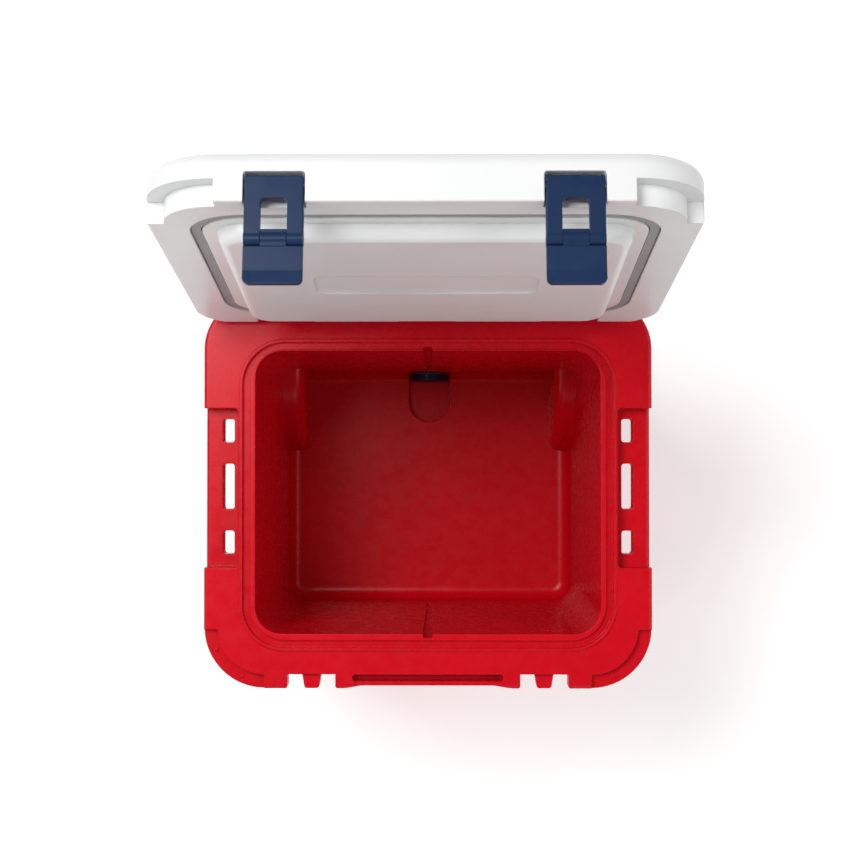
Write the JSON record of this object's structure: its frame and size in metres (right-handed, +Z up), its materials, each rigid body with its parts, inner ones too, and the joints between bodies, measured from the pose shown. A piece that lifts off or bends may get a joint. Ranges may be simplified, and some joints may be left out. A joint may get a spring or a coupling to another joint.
{
  "type": "wheeled hard cooler",
  "caption": "Insulated hard cooler with a hinged lid, front latches, side grips, wheels at the back and a telescoping pull handle.",
  "frame": {"origin": "on the ground, in the middle of the open cooler's outline from above", "axes": "+X to the cooler's right, +Y to its back (hinge and wheels), +Z up"},
  "size_m": [0.48, 0.5015, 0.9028],
  "materials": {
    "red_plastic": "rotomoulded polyethylene, fine satin texture",
    "white_plastic": "rotomoulded polyethylene, fine satin texture",
    "insulation": "closed-cell foam",
    "gasket_rubber": "soft dark grey rubber",
    "navy_plastic": "moulded, satin",
    "foot_rubber": "matt rubber",
    "grip_rubber": "soft-touch rubber",
    "steel": "stainless, lightly brushed",
    "bracket_steel": "black powder coat",
    "dark_plastic": "glass-filled nylon, fine grain",
    "aluminium": "satin anodised",
    "tyre_rubber": "solid rubber with three grooves",
    "hinge_cap_plastic": "moulded plug"
  },
  "bodies": {
    "body": {"body_shell": "red_plastic", "body_foam": "insulation", "drain_fitting": "navy_plastic", "drain_seal": "gasket_rubber", "drain_nut": "navy_plastic", "foot_left": "foot_rubber", "foot_right": "foot_rubber", "foot_screws": "steel", "axle": "steel", "axle_bracket_left": "bracket_steel", "axle_bracket_right": "bracket_steel", "bracket_screws": "steel", "axle_washers": "steel", "axle_clips": "steel", "handle_housing": "dark_plastic", "housing_screws": "steel", "sleeve_left": "aluminium", "sleeve_right": "aluminium", "sleeve_collar_left": "dark_plastic", "sleeve_collar_right": "dark_plastic", "hinge_rod": "steel"},
    "lid": {"lid_shell": "white_plastic", "lid_foam": "insulation", "lid_gasket": "gasket_rubber", "latch_pin_left": "steel", "latch_pin_right": "steel", "hinge_caps": "hinge_cap_plastic"},
    "handle_middle": {"middle_tube_left": "aluminium", "middle_tube_right": "aluminium", "middle_guide_left": "dark_plastic", "middle_guide_right": "dark_plastic", "middle_collar_left": "dark_plastic", "middle_collar_right": "dark_plastic"},
    "handle_inner": {"inner_tube_left": "aluminium", "inner_tube_right": "aluminium", "inner_guide_left": "dark_plastic", "inner_guide_right": "dark_plastic", "grip_core": "dark_plastic", "grip_cover": "grip_rubber", "button_spring": "steel"},
    "release_button": {"release_button": "navy_plastic"},
    "plug_ring": {"drain_plug_seal": "gasket_rubber"},
    "drain_plug": {"drain_plug": "navy_plastic"},
    "wheel_left": {"tyre_left": "tyre_rubber", "hub_left": "dark_plastic", "wheel_bush_left": "dark_plastic", "hub_cap_left": "dark_plastic"},
    "link_left": {"latch_link_left": "navy_plastic", "lever_pin_left": "steel"},
    "lever_left": {"latch_lever_left": "navy_plastic"},
    "lock_pin_left": {"lock_pin_left": "steel"},
    "wheel_right": {"tyre_right": "tyre_rubber", "hub_right": "dark_plastic", "wheel_bush_right": "dark_plastic", "hub_cap_right": "dark_plastic"},
    "link_right": {"latch_link_right": "navy_plastic", "lever_pin_right": "steel"},
    "lever_right": {"latch_lever_right": "navy_plastic"},
    "lock_pin_right": {"lock_pin_right": "steel"}
  },
  "joints": [
    {"name": "lid_hinge", "type": "hinge", "parent": "body", "child": "lid", "pos_m": [0, 0.1563, 0.486], "axis": [1, 0, 0], "range_deg": [0, 99.6]},
    {"name": "handle_middle_slide", "type": "slide", "parent": "body", "child": "handle_middle", "axis": [0, 0.1392, 0.9903], "range_m": [0, 0.25]},
    {"name": "handle_inner_slide", "type": "slide", "parent": "handle_middle", "child": "handle_inner", "axis": [0, 0.1392, 0.9903], "range_m": [0, 0.25]},
    {"name": "release_button_press", "type": "slide", "parent": "handle_inner", "child": "release_button", "axis": [0, -0.1392, -0.9903], "range_m": [0, 0.004], "stiffness_N_per_m": 400, "deforming": ["button_spring"]},
    {"name": "plug_advance", "type": "slide", "parent": "body", "child": "plug_ring", "axis": [0, 1, 0], "range_m": [0, 0.009]},
    {"name": "plug_turn", "type": "hinge", "parent": "plug_ring", "child": "drain_plug", "pos_m": [0, 0.1643, 0.13], "axis": [0, 1, 0], "range_deg": [-1080, 0]},
    {"name": "wheel_spin_left", "type": "hinge", "parent": "body", "child": "wheel_left", "pos_m": [-0.199, 0.1093, 0.08], "axis": [1, 0, 0], "continuous": true},
    {"name": "latch_link_left", "type": "hinge", "parent": "lid", "child": "link_left", "pos_m": [-0.1245, 0.22314, 0.87936], "axis": [1, 0, 0], "range_deg": [-100, 0]},
    {"name": "latch_lever_left", "type": "hinge", "parent": "link_left", "child": "lever_left", "pos_m": [-0.1245, 0.17754, 0.8886], "axis": [1, 0, 0], "range_deg": [-100, 0]},
    {"name": "lock_pin_left", "type": "slide", "parent": "handle_inner", "child": "lock_pin_left", "axis": [-1, 0, 0], "range_m": [0, 0.002]},
    {"name": "wheel_spin_right", "type": "hinge", "parent": "body", "child": "wheel_right", "pos_m": [0.199, 0.1093, 0.08], "axis": [1, 0, 0], "continuous": true},
    {"name": "latch_link_right", "type": "hinge", "parent": "lid", "child": "link_right", "pos_m": [0.1245, 0.22314, 0.87936], "axis": [1, 0, 0], "range_deg": [-100, 0]},
    {"name": "latch_lever_right", "type": "hinge", "parent": "link_right", "child": "lever_right", "pos_m": [0.1245, 0.17754, 0.8886], "axis": [1, 0, 0], "range_deg": [-100, 0]},
    {"name": "lock_pin_right", "type": "slide", "parent": "handle_inner", "child": "lock_pin_right", "axis": [1, 0, 0], "range_m": [0, 0.002]}
  ],
  "couplings": [
    {"joint": "plug_turn", "follows": "plug_advance", "rad_per_m": -2094.4},
    {"joint": "lock_pin_right", "follows": "lock_pin_left", "ratio": 1}
  ]
}
